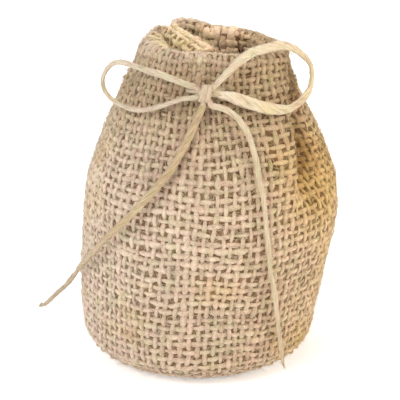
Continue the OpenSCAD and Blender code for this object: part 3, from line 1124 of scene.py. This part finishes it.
def cords_into_casing():
    """The two ends that come out of the casing at the knot's sides."""
    cords = []
    for side in (-1, 1):
        route = (KNOT + np.array(INTO_CASING) * [side, 1, 1]) * MM
        cords.append(cord_tubes(curve_through(route), [(0, 1.3), (1, 1.1)], [(0, 1.0), (1, 1.0)]))
    return cords


def cords_into_knot():
    """The first bit of each loop and tail, and the last of each loop, from inside the knot."""
    ends = [route[:2] for route in (LOOP_LEFT, LOOP_RIGHT, TAIL_LEFT, TAIL_RIGHT)]
    ends += [route[:-3:-1] for route in (LOOP_LEFT, LOOP_RIGHT)]
    cords = []
    for first, second in np.array(ends):
        middle = KNOT * MM
        line = curve_through([middle, (middle + first) / 2, first, first + 0.35 * (second - first)])
        width = [(0, 0.9), (0.7, 1.4), (1, 1.1)]
        thickness = [(0, 0.9), (0.7, 1.15), (1, 0.9)]
        cords.append(cord_tubes(line, width, thickness))
    return cords


def knot_core():
    """The lump of cord inside the turns, rounded at both ends."""
    half_l, half_w, half_t = CORE
    x = np.linspace(-1, 1, CORE_RINGS)
    centres = (KNOT + np.stack([x * half_l, 0 * x, 0 * x], axis=-1))[None]
    forward = np.broadcast_to([0.0, -1, 0], centres.shape)
    round_off = np.sqrt(np.maximum(1 - x**2, 0.02))[None]
    return tubes(centres, forward, half_w * round_off, half_t * round_off, 16, twist=0.3, ridges=0.09)


def add_knot():
    """The knot, with what goes into it and comes out of it."""
    parts = [*knot_wraps(), *cords_into_casing(), *cords_into_knot(), knot_core()]
    piece = new_piece("knot_wraps", joined(parts), CORD)
    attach(piece, "mouth_front")
    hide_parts("bow_knot")


add_bow()
add_knot()
for half in HALVES:
    add_cloth(half)
    add_hem_stitches(half)
add_seam()
add_base()
add_casing_cord()

# ---- Floor and light ----

FLOOR_HALF = 3.0
FLOOR_WHITE = 0.86
FLOOR_GLOW = 0.42
SKY_STRENGTH = 0.5
# The place that the lights face
LIT_PLACE = Vector((0, 0, 0.04))
# Name, place, width, power and colour of each light. The pouch's right is lit warmly
LIGHTS = [
    ("key", (-0.4, -0.42, 0.55), 0.3, 2.65, (1, 1, 1)),
    ("fill", (0.5, -0.15, 0.3), 0.5, 1.9, (1, 0.9, 0.74)),
    ("top", (0.05, -0.12, 0.6), 0.3, 0.3, (1, 1, 1)),
    ("back", (-0.15, 0.5, 0.3), 0.5, 1.0, (1, 1, 1)),
]


def add_floor():
    """A plain white floor that glows a little, as on a light table."""
    mesh = bpy.data.meshes.new("floor")
    corners = [(x * FLOOR_HALF, y * FLOOR_HALF, 0) for x, y in ((-1, -1), (1, -1), (1, 1), (-1, 1))]
    mesh.from_pydata(corners, [], [(0, 1, 2, 3)])
    nodes = Nodes("floor_white")
    nodes.shader.inputs["Base Color"].default_value = (FLOOR_WHITE, FLOOR_WHITE, FLOOR_WHITE, 1)
    nodes.shader.inputs["Roughness"].default_value = 0.9
    nodes.shader.inputs["Emission Color"].default_value = (1, 1, 1, 1)
    nodes.shader.inputs["Emission Strength"].default_value = FLOOR_GLOW
    mesh.materials.append(nodes.material)
    floor = bpy.data.objects.new("floor", mesh)
    bpy.context.scene.collection.objects.link(floor)


def add_light(name, place, size, power, colour):
    """A soft square light that faces the pouch."""
    data = bpy.data.lights.new(name, "AREA")
    data.size = size
    data.energy = power
    data.color = colour
    light = bpy.data.objects.new(name, data)
    light.location = place
    light.rotation_euler = (LIT_PLACE - Vector(place)).to_track_quat("-Z", "Y").to_euler()
    bpy.context.scene.collection.objects.link(light)


def add_world():
    """An even white sky."""
    world = bpy.data.worlds.new("studio")
    world.use_nodes = True
    sky = world.node_tree.nodes["Background"]
    sky.inputs["Color"].default_value = (1, 1, 1, 1)
    sky.inputs["Strength"].default_value = SKY_STRENGTH
    bpy.context.scene.world = world


add_floor()
add_world()
for light in LIGHTS:
    add_light(*light)
bpy.context.scene.view_settings.view_transform = "Standard"
